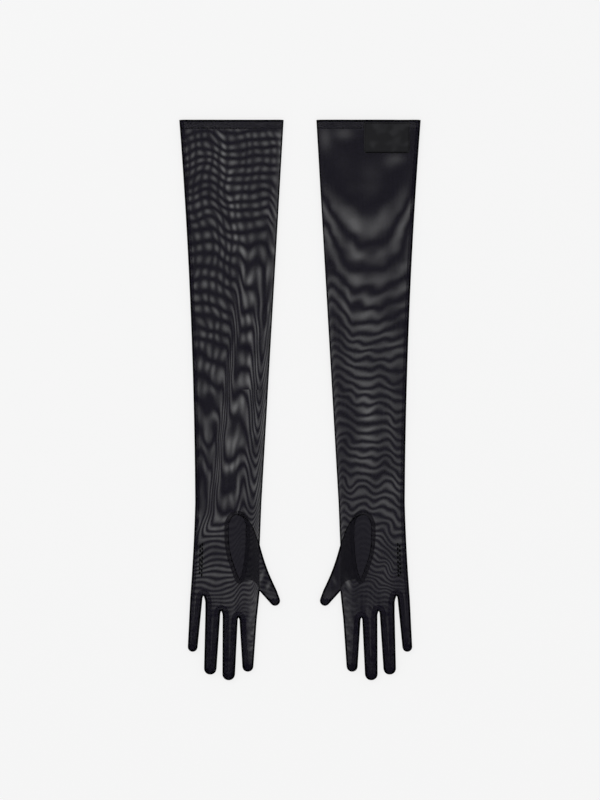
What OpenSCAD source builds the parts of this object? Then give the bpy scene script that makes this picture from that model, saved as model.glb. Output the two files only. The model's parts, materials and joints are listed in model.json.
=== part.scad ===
/* [Whole glove] */
// Length from the edge of the cuff to the tip of the middle finger
glove_length = 590; // [560:5:620]
// Clear space between the two cuffs, as the pair lies side by side
cuff_gap = 34.8; // [20:0.2:60]
// Flat width at the edge of the cuff
cuff_width = 109.6; // [100:0.2:120]
// Flat width at the wrist
wrist_width = 69.4; // [64:0.2:76]
// Set-in of the fold side at the wrist, measured from the cuff's corner
wrist_fold_inset = 23.4; // [18:0.2:28]
// Height of the glove as it lies on a table
glove_height = 6; // [5.8:0.1:8]
// Thickness of the mesh cloth
cloth = 0.5; // [0.4:0.05:0.55]
// Thickness of the side walls: the fold, the seam and the finger strips
wall = 0.6; // [0.4:0.1:0.8]

/* [Joints] */
// Length of the hand, from the wrist's fold line to the tip of the middle finger
hand_length = 187; // [180:1:194]
// Length of the forearm, from the wrist's fold line to the elbow's fold line
forearm_length = 238; // [220:1:250]
// Clear gap where two stretches of the glove meet at a fold line
fold_gap = 0.4; // [0.3:0.1:1]

/* [Fingers] */
// Flat width of the index finger at its root
index_width = 17.6; // [16:0.2:18]
// Flat width of the middle finger at its root
middle_width = 15.4; // [14:0.2:16]
// Flat width of the ring finger at its root
ring_width = 15; // [14:0.2:16]
// Flat width of the little finger at its root
little_width = 11.6; // [11:0.2:13]
// Distance of the index finger's tip short of the middle finger's
index_short = 9; // [5:1:14]
// Distance of the ring finger's tip short of the middle finger's
ring_short = 6; // [3:1:12]
// Distance of the little finger's tip short of the middle finger's
little_short = 30; // [24:1:36]
// Height of the middle and index fingers' crotch above the middle finger's tip
middle_index_crotch = 66; // [62:1:70]
// Height of the ring and middle fingers' crotch above the middle finger's tip
ring_middle_crotch = 73; // [70:1:78]
// Height of the little and ring fingers' crotch above the middle finger's tip
little_ring_crotch = 89; // [84:1:94]

/* [Thumb] */
// Height of the thumb's upper root above the middle finger's tip
thumb_top = 142; // [136:1:150]
// Height of the thumb's crotch above the middle finger's tip
thumb_crotch = 94; // [92:1:98]
// Reach of the thumb sideways from its root
thumb_reach = 21.4; // [18:0.2:26]
// Height of the thumb's lowest point above the middle finger's tip
thumb_tip_rise = 78.4; // [74:0.2:84]
// Length of the pointed oval that sets the thumb into the palm
gusset_length = 76; // [68:1:78]
// Width of the pointed oval
gusset_width = 21.6; // [18:0.2:23]

/* [Hem and label] */
// Depth of the folded hem at the cuff
hem_depth = 9.5; // [6:0.5:14]
// Thickness of the turned-in layer of the hem
hem_cloth = 0.4; // [0.2:0.05:0.4]
// Width of the label on the right-hand glove
label_width = 48; // [40:1:54]
// Height of the label
label_height = 32; // [24:1:36]

/* [Hidden] */
SIDES = ["left", "right"];
FINGERS = ["index", "middle", "ring", "little"];
SLEEVE_PARTS = [
    "upper_sleeve_palm", "upper_sleeve_back", "upper_sleeve_fold", "upper_sleeve_seam", "hem_facing",
    "forearm_palm", "forearm_back", "forearm_fold", "forearm_seam"
];
HAND_PARTS = [
    "hand_palm", "hand_back", "hand_fold", "hand_seam", "thumb_gusset", "finger_forks",
    "thumb_cloth", "thumb_strips"
];
FINGER_PARTS = [for (f = FINGERS, part = ["_finger_cloth", "_finger_strips"]) str(f, part)];

MESH_BLACK = [0.13, 0.13, 0.15];
STRIP_BLACK = [0.06, 0.06, 0.07];
SATIN_BLACK = [0.17, 0.17, 0.17];
THREAD_BLACK = [0.03, 0.03, 0.03];

// A space that only keeps two solids of one node apart
hairline = 0.05;
// How many straight steps make up a long gentle edge, an arc and a half circle
edge_steps = 8;
arc_steps = 12;
tip_steps = 16;

// Levels along the glove: +Y points to the cuff, 0 is half way
tip_y = -glove_length / 2;
cuff_y = glove_length / 2;
wrist_y = tip_y + hand_length;
elbow_y = wrist_y + forearm_length;
half_gap = fold_gap / 2;

// The right-hand glove lies at +X with its fold, the thumb's side, towards the pair's middle
cuff_fold_x = cuff_gap / 2;
cuff_seam_x = cuff_fold_x + cuff_width;
wrist_fold_x = cuff_fold_x + wrist_fold_inset;
wrist_seam_x = wrist_fold_x + wrist_width;
thumb_line_x = wrist_fold_x + 1.8;
knuckle_fold_x = wrist_fold_x + 5.1;

// Bow of an edge's sideways run: 1 is a straight run, less starts it slower
seam_bow = 0.15;
palm_bow = 0.5;

// Fingers, in the order of FINGERS
root_widths = [index_width, middle_width, ring_width, little_width];
crotch_gaps = [2.4, 3.2, 4.4];
crotch_rises = [middle_index_crotch, ring_middle_crotch, little_ring_crotch];
tip_radii = [5.6, 6.4, 6.3, 4.9];
tip_leans = [0.2, 1.5, 2.5, 3.4];
tip_shorts = [index_short, 0, ring_short, little_short];
root_drop = 3;
thumb_tip_r = 5.1;
gusset_tilt = 2.2;
gusset_centre = [wrist_fold_x + 25.3, tip_y + 140.5];

function total(list, count) = count == 0 ? 0 : list[count - 1] + total(list, count - 1);
function bowed(t, bow) = bow * t + (1 - bow) * t * t;
function arc(centre, r, from, to, steps) =
    [for (i = [0:steps]) centre + r * [cos(from + (to - from) * i / steps), sin(from + (to - from) * i / steps)]];
function reversed(list) = [for (i = [len(list) - 1:-1:0]) list[i]];

// Finger i: edges of its root, and the level of its root line, just past its lower crotch
function root_low_x(i) = knuckle_fold_x + total(root_widths, i) + total(crotch_gaps, i);
function root_high_x(i) = root_low_x(i) + root_widths[i];
function root_y(i) = tip_y + min(crotch_rises[max(i - 1, 0)], crotch_rises[min(i, 2)]) - root_drop;
function tip_centre(i) = [
    (root_low_x(i) + root_high_x(i)) / 2 + tip_leans[i],
    tip_y + tip_shorts[i] + tip_radii[i]
];

// Sideways place of the fold edge and of the seam edge at level y
function up_sleeve(y) = (y - wrist_y) / (cuff_y - wrist_y);
function down_palm(y) = (wrist_y - y) / (wrist_y - root_y(3) - half_gap);
function fold_x(y) = y > wrist_y
    ? wrist_fold_x - wrist_fold_inset * up_sleeve(y)
    : wrist_fold_x + (thumb_line_x - wrist_fold_x) * (wrist_y - y) / (hand_length - thumb_top);
function seam_x(y) = y > wrist_y
    ? wrist_seam_x + (cuff_seam_x - wrist_seam_x) * bowed(up_sleeve(y), seam_bow)
    : wrist_seam_x + (root_high_x(3) - wrist_seam_x) * bowed(down_palm(y), palm_bow);

function level(from, to, i) = from + (to - from) * i / edge_steps;
function fold_edge(from, to, inset) = [for (i = [0:edge_steps]) [fold_x(level(from, to, i)) + inset, level(from, to, i)]];
function seam_edge(from, to, inset) = [for (i = [0:edge_steps]) [seam_x(level(from, to, i)) - inset, level(from, to, i)]];

// Outline of a tapered tube with a round tip: corners of its root, centre and radius of its tip
function tangent_angle(corner, centre, r, hand) =
    let (d = corner - centre) atan2(d[1], d[0]) + hand * acos(r / norm(d));
function tip_arc(low, high, centre, r) =
    let (a = tangent_angle(high, centre, r, -1), b = tangent_angle(low, centre, r, 1))
    arc(centre, r, a, b > a ? b - 360 : b, tip_steps);

// Cloth layers of the glove: the back lies on the table, the palm on top
module back_layer() {
    linear_extrude(cloth) children();
}
module palm_layer() {
    translate([0, 0, glove_height - cloth]) linear_extrude(cloth) children();
}
module between_layers() {
    translate([0, 0, cloth]) linear_extrude(glove_height - 2 * cloth) children();
}

// The left-hand glove is the right-hand one mirrored
module on_side(side) {
    if (side == "left") mirror([1, 0, 0]) children();
    else children();
}

module sleeve_outline(from, to) {
    polygon(concat(fold_edge(from, to, 0), reversed(seam_edge(from, to, 0))));
}
module fold_strip(from, to) {
    polygon(concat(fold_edge(from, to, 0), reversed(fold_edge(from, to, wall))));
}
module seam_strip(from, to) {
    polygon(concat(seam_edge(from, to, 0), reversed(seam_edge(from, to, wall))));
}

module sleeve_palm(from, to) {
    color(MESH_BLACK) palm_layer() sleeve_outline(from, to);
}
module sleeve_back(from, to) {
    color(MESH_BLACK) back_layer() sleeve_outline(from, to);
}
module sleeve_fold(from, to) {
    color(MESH_BLACK) between_layers() fold_strip(from, to);
}
module sleeve_seam(from, to) {
    color(STRIP_BLACK) between_layers() seam_strip(from, to);
}

// The hem's turned-in layer, one strip under the palm cloth and one on the back cloth
module hem_facing() {
    from = cuff_y - hem_depth;
    outline = concat(fold_edge(from, cuff_y, wall), reversed(seam_edge(from, cuff_y, wall)));
    color(STRIP_BLACK) {
        translate([0, 0, cloth]) linear_extrude(hem_cloth) polygon(outline);
        translate([0, 0, glove_height - cloth - hem_cloth]) linear_extrude(hem_cloth) polygon(outline);
    }
}

// Crotch between finger i and the next: a half circle open towards the tips
function crotch_radius(i) = crotch_gaps[i] / 2;
function crotch_centre(i) = [root_high_x(i) + crotch_radius(i), tip_y + crotch_rises[i] - crotch_radius(i)];
function crotch_arc(i, grow) = arc(crotch_centre(i), crotch_radius(i) + grow, 180, 0, arc_steps);

// The edge of the hand past the thumb, from the index finger's root to the little finger's
knuckle_edge = [for (i = [0:3]) each concat(
    [[root_low_x(i), root_y(i) + half_gap]],
    i < 3 ? [[root_high_x(i), root_y(i) + half_gap]] : [],
    i < 3 ? crotch_arc(i, 0) : []
)];
thumb_top_y = tip_y + thumb_top;
thumb_crotch_y = tip_y + thumb_crotch;
hand_top_y = wrist_y - half_gap;
module hand_outline() {
    polygon(concat(
        [[fold_x(hand_top_y), hand_top_y], [fold_x(thumb_top_y), thumb_top_y]],
        [[thumb_line_x + half_gap, thumb_top_y], [thumb_line_x + half_gap, thumb_crotch_y]],
        knuckle_edge,
        reversed(seam_edge(hand_top_y, root_y(3) + half_gap, 0))
    ));
}

// The pointed oval between two arcs that cross at its ends
gusset_r = (pow(gusset_length / 2, 2) + pow(gusset_width / 2, 2)) / gusset_width;
module gusset_outline(shrink) {
    side_centre = gusset_r - gusset_width / 2;
    r = gusset_r - shrink;
    half_angle = acos(side_centre / r);
    translate(gusset_centre) rotate(-gusset_tilt) polygon(concat(
        arc([-side_centre, 0], r, -half_angle, half_angle, arc_steps),
        arc([side_centre, 0], r, 180 - half_angle, 180 + half_angle, arc_steps)
    ));
}

module hand_palm() {
    color(MESH_BLACK) palm_layer() difference() {
        hand_outline();
        gusset_outline(0);
    }
}
module hand_back() {
    color(MESH_BLACK) back_layer() hand_outline();
}
module hand_fold() {
    knuckle = [root_low_x(0), root_y(0) + half_gap];
    crotch = [thumb_line_x + half_gap, thumb_crotch_y];
    color(MESH_BLACK) between_layers() {
        fold_strip(thumb_top_y, hand_top_y);
        polygon([crotch, knuckle, knuckle + [wall, 0], crotch + [wall, 0]]);
    }
}
module hand_seam() {
    color(STRIP_BLACK) between_layers() seam_strip(root_y(3) + half_gap, hand_top_y);
}
module thumb_gusset() {
    color(STRIP_BLACK) palm_layer() gusset_outline(hairline);
}

// The forks of the finger strips, one round each crotch of the hand
module finger_forks() {
    color(STRIP_BLACK) between_layers() for (i = [0:2]) {
        low = [root_high_x(i), root_y(i) + half_gap];
        high = [root_low_x(i + 1), root_y(i + 1) + half_gap];
        polygon(concat(
            [low], crotch_arc(i, 0), [high, high + [wall, 0]],
            reversed(crotch_arc(i, wall)), [low - [wall, 0]]
        ));
    }
}

// A finger or the thumb: low and high are the corners of its root
module tube_cloth(low, high, centre, r) {
    outline = concat([low, high], tip_arc(low, high, centre, r));
    color(MESH_BLACK) {
        back_layer() polygon(outline);
        palm_layer() polygon(outline);
    }
}
// Its two side strips and the bunch of seam allowance where they meet in the tip
module tube_strips(low, high, centre, r, inward) {
    outer = tip_arc(low, high, centre, r);
    inner = tip_arc(low + inward, high - inward, centre, r - wall);
    short = [0, hairline];
    color(STRIP_BLACK) between_layers() {
        polygon([high, outer[0] + short, inner[0] + short, high - inward]);
        polygon([low, outer[tip_steps] + short, inner[tip_steps] + short, low + inward]);
        polygon(outer);
    }
}
function finger_low(i) = [root_low_x(i), root_y(i) - half_gap];
function finger_high(i) = [root_high_x(i), root_y(i) - half_gap];
module finger_cloth(i) {
    tube_cloth(finger_low(i), finger_high(i), tip_centre(i), tip_radii[i]);
}
module finger_strips(i) {
    tube_strips(finger_low(i), finger_high(i), tip_centre(i), tip_radii[i], [wall, 0]);
}
thumb_low = [thumb_line_x - half_gap, thumb_top_y - fold_gap];
thumb_high = [thumb_line_x - half_gap, thumb_crotch_y];
thumb_centre = [thumb_line_x - thumb_reach + thumb_tip_r, tip_y + thumb_tip_rise + thumb_tip_r];
module thumb_cloth() {
    tube_cloth(thumb_low, thumb_high, thumb_centre, thumb_tip_r);
}
module thumb_strips() {
    tube_strips(thumb_low, thumb_high, thumb_centre, thumb_tip_r, [0, -wall]);
}

// The label lies on the palm side of the right-hand glove, under the hem's edge and near the seam
label_cloth = 0.3;
label_margin = 2.5;
thread = 0.15;
stitch_inset = 1.6;
stitch_width = 0.5;
label_centre = [cuff_seam_x - label_width / 2 - 11.6, cuff_y - label_height / 2 - label_margin];
module label_patch() {
    color(SATIN_BLACK) translate([label_centre[0], label_centre[1], glove_height + label_cloth / 2])
        cube([label_width, label_height, label_cloth], center = true);
}
module label_stitching() {
    size = [label_width, label_height] - 2 * [stitch_inset, stitch_inset];
    color(THREAD_BLACK) translate([label_centre[0], label_centre[1], glove_height + label_cloth])
        linear_extrude(thread) difference() {
            square(size, center = true);
            square(size - 2 * [stitch_width, stitch_width], center = true);
        }
}

upper = [elbow_y + half_gap, cuff_y];
forearm = [wrist_y + half_gap, elbow_y - half_gap];
for (side = SIDES) on_side(side) {
    sleeve_palm(upper[0], upper[1]);
    sleeve_back(upper[0], upper[1]);
    sleeve_fold(upper[0], upper[1]);
    sleeve_seam(upper[0], upper[1]);
    hem_facing();
    sleeve_palm(forearm[0], forearm[1]);
    sleeve_back(forearm[0], forearm[1]);
    sleeve_fold(forearm[0], forearm[1]);
    sleeve_seam(forearm[0], forearm[1]);
    hand_palm();
    hand_back();
    hand_fold();
    hand_seam();
    thumb_gusset();
    finger_forks();
    thumb_cloth();
    thumb_strips();
    for (i = [0:3]) {
        finger_cloth(i);
        finger_strips(i);
    }
}
label_patch();
label_stitching();
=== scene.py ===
import json
import math

import bpy
import numpy as np
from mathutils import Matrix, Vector
from mathutils.geometry import delaunay_2d_cdt


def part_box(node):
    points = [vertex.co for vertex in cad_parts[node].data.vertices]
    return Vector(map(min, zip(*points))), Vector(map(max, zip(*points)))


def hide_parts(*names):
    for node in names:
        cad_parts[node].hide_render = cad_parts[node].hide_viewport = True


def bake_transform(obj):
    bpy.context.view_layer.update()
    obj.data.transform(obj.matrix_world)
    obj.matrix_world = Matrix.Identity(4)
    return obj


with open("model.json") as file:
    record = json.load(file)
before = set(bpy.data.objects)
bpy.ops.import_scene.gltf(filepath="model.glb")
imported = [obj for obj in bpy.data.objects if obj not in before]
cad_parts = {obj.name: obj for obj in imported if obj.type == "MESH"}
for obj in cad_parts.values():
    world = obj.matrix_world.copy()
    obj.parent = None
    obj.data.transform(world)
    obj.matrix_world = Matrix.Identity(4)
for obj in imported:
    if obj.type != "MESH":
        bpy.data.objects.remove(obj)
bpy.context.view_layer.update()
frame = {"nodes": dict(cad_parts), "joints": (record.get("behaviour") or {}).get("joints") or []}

# All shapes below are worked out in millimetres for the right-hand glove, where x grows from the
# thumb's side to the little finger's side and y towards the cuff. The left-hand glove is its mirror
# image.
MM = 0.001
SIDES = {"left": -1, "right": 1}
FINGERS = ["index", "middle", "ring", "little"]
SPACING = 2.0  # between the points of the cloth's mesh
EDGE_SPACING = 1.6  # along its outline
EDGE_RINGS = [0.4, 1.0, 2.0, 3.3]  # distances of the rows of points that follow the outline


# ------------ the frame's outlines


def rim_edges(faces):
    """The edges that only one face has, in that face's direction."""
    edges = {(int(a), int(b)): True for face in faces for a, b in zip(face, np.roll(face, -1))}
    return [(a, b) for a, b in edges if (b, a) not in edges]


def top_outline(node):
    """Corners of the outline of a CAD cloth layer's upper face, in order, in millimetres."""
    mesh = frame["nodes"][node].data
    mesh.calc_loop_triangles()
    points = np.array([v.co for v in mesh.vertices]) / MM
    level = points[:, 2].max()
    corners = {}
    numbers = []
    for x, y, z in points:
        key = (round(x, 3), round(y, 3)) if z > level - 0.01 else None
        numbers.append(None if key is None else corners.setdefault(key, len(corners)))
    upwards = [triangle.vertices for triangle in mesh.loop_triangles if triangle.normal.z >= 0.5]
    faces = [[numbers[i] for i in vertices] for vertices in upwards]
    following = dict(rim_edges(face for face in faces if None not in face))
    start = next(iter(following))
    order = [start]
    while following[order[-1]] != start:
        order.append(following[order[-1]])
    return np.array(list(corners))[order]


def joint_place(name):
    joint = next(j for j in frame["joints"] if j["name"] == name)
    return np.array(joint["pos_m"]) / MM


elbow_y = joint_place("right_elbow_fold")[1]
wrist_y = joint_place("right_wrist_fold")[1]
thumb_line_x = joint_place("right_thumb_fold")[0]
root_y = {name: joint_place(f"right_{name}_fold")[1] for name in FINGERS}
middle_y = (elbow_y + wrist_y) / 2
cuff_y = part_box("right_upper_sleeve_palm")[1].y / MM


def turned(corners, first):
    """The same closed outline, started at the corner nearest to first."""
    at = int(np.argmin(np.hypot(*(corners - np.array(first)).T)))
    return np.roll(corners, -at, axis=0)


def between(ring, first, last):
    """The stretch of a closed outline from the corner nearest to first, to the one nearest to last."""
    stretch = turned(ring, first)
    at = int(np.argmin(np.hypot(*(stretch - np.array(last)).T)))
    return stretch[: at + 1]


def sleeve_edges(node):
    """The thumb-side edge, downwards, and the little-finger-side edge, upwards, of a sleeve piece."""
    corners = top_outline(node)
    top = corners[corners[:, 1] > corners[:, 1].max() - 0.01]
    bottom = corners[corners[:, 1] < corners[:, 1].min() + 0.01]
    top_fold, top_seam = top[top[:, 0].argmin()], top[top[:, 0].argmax()]
    bottom_fold, bottom_seam = bottom[bottom[:, 0].argmin()], bottom[bottom[:, 0].argmax()]
    return between(corners, top_fold, bottom_fold), between(corners, bottom_seam, top_seam)


def dense(points, spacing=EDGE_SPACING):
    """A line through the points, with more between them, so that no step is longer than spacing."""
    line = [np.array(points[0], float)]
    for a, b in zip(points, points[1:]):
        steps = max(1, math.ceil(math.dist(a, b) / spacing))
        line += [a + (np.array(b) - a) * i / steps for i in range(1, steps + 1)]
    return np.array(line)


def at_height(edge, y):
    """The point of a sleeve edge at that height."""
    order = np.argsort(edge[:, 1])
    return np.array([np.interp(y, edge[order, 1], edge[order, 0]), y])


# ------------ the glove's edge

upper_fold, upper_seam = sleeve_edges("right_upper_sleeve_palm")
forearm_fold, forearm_seam = sleeve_edges("right_forearm_palm")
hand_ring = top_outline("right_hand_back")
finger_ring = {name: top_outline(f"right_{name}_finger_cloth") for name in FINGERS}
thumb_ring = top_outline("right_thumb_cloth")

fold_line = np.vstack([upper_fold, forearm_fold])
seam_line = np.vstack([forearm_seam, upper_seam])
middle_fold, middle_seam = at_height(fold_line, middle_y), at_height(seam_line, middle_y)
cuff_fold, cuff_seam = at_height(fold_line, cuff_y), at_height(seam_line, cuff_y)

thumb_root = thumb_ring[thumb_ring[:, 0] > thumb_line_x - 0.5]
thumb_bottom = np.array([thumb_line_x, thumb_root[:, 1].min()])
above_thumb = hand_ring[(hand_ring[:, 0] < thumb_line_x + 0.5) & (hand_ring[:, 1] > thumb_bottom[1] + 10)]
thumb_top = np.array([thumb_line_x, above_thumb[:, 1].min()])

POINT_HALF_GAP, POINT_DEPTH = 2.3, 7.0  # of the pointed top of the gap between two fingers
crotch_top = {}


def pointed(points, number):
    """Points beside a gap between fingers, drawn together towards the gap's top."""
    middle, top = crotch_top[number]
    points = np.array(points, float)
    aside = points[:, 0] - middle
    depth = np.clip(top - points[:, 1], 0, None)
    limit = POINT_HALF_GAP * (depth / POINT_DEPTH) ** 0.62
    near = (np.abs(aside) < POINT_HALF_GAP) & (depth < POINT_DEPTH + 1)
    points[near, 0] = middle + np.sign(aside[near]) * np.minimum(np.abs(aside[near]), limit[near])
    return points


root_low = {}
root_high = {}
for name in FINGERS:
    root = finger_ring[name][finger_ring[name][:, 1] > root_y[name] - 0.5]
    root_low[name] = np.array([root[:, 0].min(), root_y[name]])
    root_high[name] = np.array([root[:, 0].max(), root_y[name]])
crotch_arc = {}
for number in (1, 2, 3):
    before, after = FINGERS[number - 1], FINGERS[number]
    arc = between(hand_ring, root_high[before], root_low[after])[1:-1]
    crotch_top[number] = ((root_high[before][0] + root_low[after][0]) / 2, arc[:, 1].max())
    crotch_arc[number] = arc
    root_high[before] = pointed([root_high[before]], number)[0]
    root_low[after] = pointed([root_low[after]], number)[0]

# The edge runs anticlockwise: down the thumb side, round the fingers and up the little finger's side.
chains = {}
in_sleeve = [p for p in fold_line if middle_y < p[1] < cuff_y - 1]
chains["sleeve_fold"] = [cuff_fold] + in_sleeve + [middle_fold]
chains["hand_fold"] = [middle_fold] + [p for p in forearm_fold if p[1] < middle_y] + [thumb_top]
thumb_edge = between(thumb_ring, thumb_top, thumb_bottom)[1:-1]
chains["thumb"] = [thumb_top] + list(thumb_edge) + [thumb_bottom]
chains["web"] = [thumb_bottom, root_low["index"]]
for number, name in enumerate(FINGERS):
    ring = finger_ring[name]
    tip = ring[ring[:, 1].argmin()]
    chains[f"{name}_low"] = [root_low[name]] + list(between(ring, root_low[name], tip)[1:])
    chains[f"{name}_high"] = list(between(ring, tip, root_high[name])[:-1]) + [root_high[name]]
    if name != "little":
        chain = [root_high[name]] + list(crotch_arc[number + 1]) + [root_low[FINGERS[number + 1]]]
        chains[f"crotch_{number + 1}"] = chain
hand_top = hand_ring[hand_ring[:, 1] > hand_ring[:, 1].max() - 0.01]
hand_seam = between(hand_ring, root_high["little"], hand_top[hand_top[:, 0].argmax()])[1:]
chains["hand_seam"] = [root_high["little"]] + list(hand_seam)
chains["hand_seam"] += [p for p in forearm_seam if p[1] < middle_y - 1] + [middle_seam]
in_sleeve = [p for p in seam_line if middle_y < p[1] < cuff_y - 1]
chains["sleeve_seam"] = [middle_seam] + in_sleeve + [cuff_seam]

# Every chain becomes a stretch of one long line of points, and the pieces along the edge share them.
OPEN_CHAINS = ["index_high", "middle_low", "middle_high", "ring_low", "ring_high", "little_low"]
OPEN_CHAINS += ["crotch_1", "crotch_2", "crotch_3"]
THUMB_HOLLOW = 1.4  # how far the thumb's outer edge bends inwards
THUMB_OUTER_END = -209  # where its outer edge ends and the round tip starts
THUMB_INWARDS = np.array([0.937, -0.348])  # at right angles to its outer edge


def hollowed(line):
    """The thumb's edge with its long straight outer side bent slightly inwards."""
    outer = line[:, 1] > THUMB_OUTER_END
    outer[len(line) // 2:] = False
    share = (line[:, 1] - line[0, 1]) / (line[outer][-1, 1] - line[0, 1])
    depth = np.where(outer, THUMB_HOLLOW * np.sin(math.pi * np.clip(share, 0, 1)), 0)
    return line + depth[:, None] * THUMB_INWARDS


stretch = {}
edge_points = []
edge_open = []
for name, points in chains.items():
    line = dense(points)
    if name == "thumb":
        line = hollowed(line)
    for number in (1, 2, 3):
        if name in (f"crotch_{number}", f"{FINGERS[number - 1]}_high", f"{FINGERS[number]}_low"):
            line = pointed(line, number)
    start = len(edge_points) - 1 if edge_points else 0
    edge_points += list(line if not edge_points else line[1:])
    edge_open += [float(name in OPEN_CHAINS)] * (len(line) if not edge_open else len(line) - 1)
    stretch[name] = slice(start, len(edge_points))
edge_points = np.array(edge_points)

finger_tips = [chains[f"{name}_low"][-1] for name in FINGERS]
TIP_REACH = 9.0  # over this length the finger strips narrow to nothing
tip_distance = np.min([np.hypot(*(edge_points - tip).T) for tip in finger_tips], axis=0)
window = np.ones(5) / 5
edge_open = np.convolve(np.pad(edge_open, 2, mode="edge"), window, mode="valid")
edge_open = edge_open * np.clip(tip_distance / TIP_REACH, 0, 1) ** 0.7

step = np.gradient(edge_points, axis=0)
step = step / np.hypot(*step.T)[:, None]
edge_inwards = np.stack([-step[:, 1], step[:, 0]], axis=1)
edge_along = np.concatenate([[0], np.cumsum(np.hypot(*np.diff(edge_points, axis=0).T))])


def from_edge(points):
    """How far each point lies from the glove's edge, and how open the edge is there."""
    start, end = edge_points[:-1], edge_points[1:]
    span = end - start
    length = (span ** 2).sum(1)
    distances = []
    openings = []
    for group in np.array_split(points, max(1, len(points) // 1500)):
        offset = group[:, None, :] - start
        share = np.clip((offset * span).sum(2) / length, 0, 1)
        gap = np.linalg.norm(offset - share[:, :, None] * span, axis=2)
        nearest = gap.argmin(1)
        rows = np.arange(len(group))
        distances.append(gap[rows, nearest])
        part = share[rows, nearest]
        openings.append(edge_open[nearest] * (1 - part) + edge_open[nearest + 1] * part)
    return np.concatenate(distances), np.concatenate(openings)


# ------------ the two layers' heights

EDGE_LEVEL = 1.7  # where palm and back meet at a closed edge
BACK_LEVEL = 0.35
SLEEVE_LEVEL = 4.5
HAND_LEVEL = 5.0
STRIP_TOP, STRIP_BOTTOM = 4.2, 0.9  # the edges of an open finger side
ROUNDING = 6.0  # of the cloth towards its edge


def ramp(value, low, high):
    """0 below low, 1 above high, and smooth between them."""
    t = np.clip((value - low) / (high - low), 0, 1)
    return t * t * (3 - 2 * t)


def waves(points, seed, shortest, longest, count=9):
    """A gentle uneven surface between about -1 and 1, from a few long waves."""
    random = np.random.default_rng(seed)
    total = np.zeros(len(points))
    for _ in range(count):
        length = random.uniform(shortest, longest)
        angle = random.uniform(0, math.pi)
        phase = random.uniform(0, 2 * math.pi)
        run = points @ np.array([math.cos(angle), math.sin(angle)])
        total += np.sin(2 * math.pi * run / length + phase)
    return total / math.sqrt(count)


CREASE_PLACES = [(70, -75), (84, -128), (58, -205), (92, -196), (70, 118), (96, 60)]


def creases(points, seed):
    """Faint slanting creases near the elbow, the wrist and the roots of the fingers."""
    random = np.random.default_rng(seed)
    total = np.zeros(len(points))
    for x, y in CREASE_PLACES:
        tilt = random.uniform(-0.5, 0.5)
        across = (points[:, 1] - y) * math.cos(tilt) + (points[:, 0] - x) * math.sin(tilt)
        beside = (points[:, 0] - x) * math.cos(tilt) - (points[:, 1] - y) * math.sin(tilt)
        total += np.exp(-((across / 3.2) ** 2) - (beside / 19) ** 2)
        total -= 0.5 * np.exp(-((across / 7) ** 2) - (beside / 22) ** 2)
    return total


def edge_levels(opening):
    """Heights of the two seams of an open finger side, which meet at a closed edge."""
    return [EDGE_LEVEL + (level - EDGE_LEVEL) * opening for level in (STRIP_TOP, STRIP_BOTTOM)]


def levels(points, seed):
    """The heights of the palm layer and of the back layer."""
    distance, opening = from_edge(points)
    inside = np.clip(distance / ROUNDING, 0, 1)
    swell = np.sqrt(1 - (1 - inside) ** 2)
    full = SLEEVE_LEVEL + (HAND_LEVEL - SLEEVE_LEVEL) * ramp(-points[:, 1], 40, 160)
    palm_edge, back_edge = edge_levels(opening)
    slack = ramp(distance, 0, 20) * (0.45 * waves(points, seed, 45, 130) + 0.35 * creases(points, seed))
    slack += ramp(distance, 0, 6) * 0.07 * waves(points, seed + 5, 9, 22)
    palm = palm_edge + (full - palm_edge) * swell + slack
    back = back_edge + (BACK_LEVEL - back_edge) * swell
    back += 0.12 * ramp(distance, 0, 12) * (1 + waves(points, seed + 9, 40, 90))
    return palm, back


# ------------ the threads in and out of step

# Rows and columns count threads: where a count is whole, the threads of the two layers lie in step and
# let light through. The depths say how much, and the veil is the light that passes everywhere.


def drift(at, places, pitches):
    """How many times the threads of the two layers have come back into step on the way to 'at'."""
    line = np.linspace(places[0], places[-1], 800)
    rate = 1 / np.interp(line, places, pitches)
    total = np.concatenate([[0], np.cumsum((rate[1:] + rate[:-1]) / 2 * np.diff(line))])
    return np.interp(at, line, total)


def across_sleeve(points):
    """Each point's distance from the thumb-side fold and from the little finger's side seam."""
    y = points[:, 1]
    fold = np.vstack([fold_line, [thumb_top, thumb_bottom]])
    fold = fold[np.argsort(fold[:, 1])]
    seam = np.vstack([hand_seam, seam_line])
    seam = seam[np.argsort(seam[:, 1])]
    fold_x = np.interp(y, fold[:, 1], fold[:, 0])
    seam_x = np.interp(y, seam[:, 1], seam[:, 0])
    return points[:, 0] - fold_x, seam_x - points[:, 0]


def spread(distance, width):
    """1 at the middle of a soft band, falling off over its width."""
    return np.exp(-((distance / width) ** 2))


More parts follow.
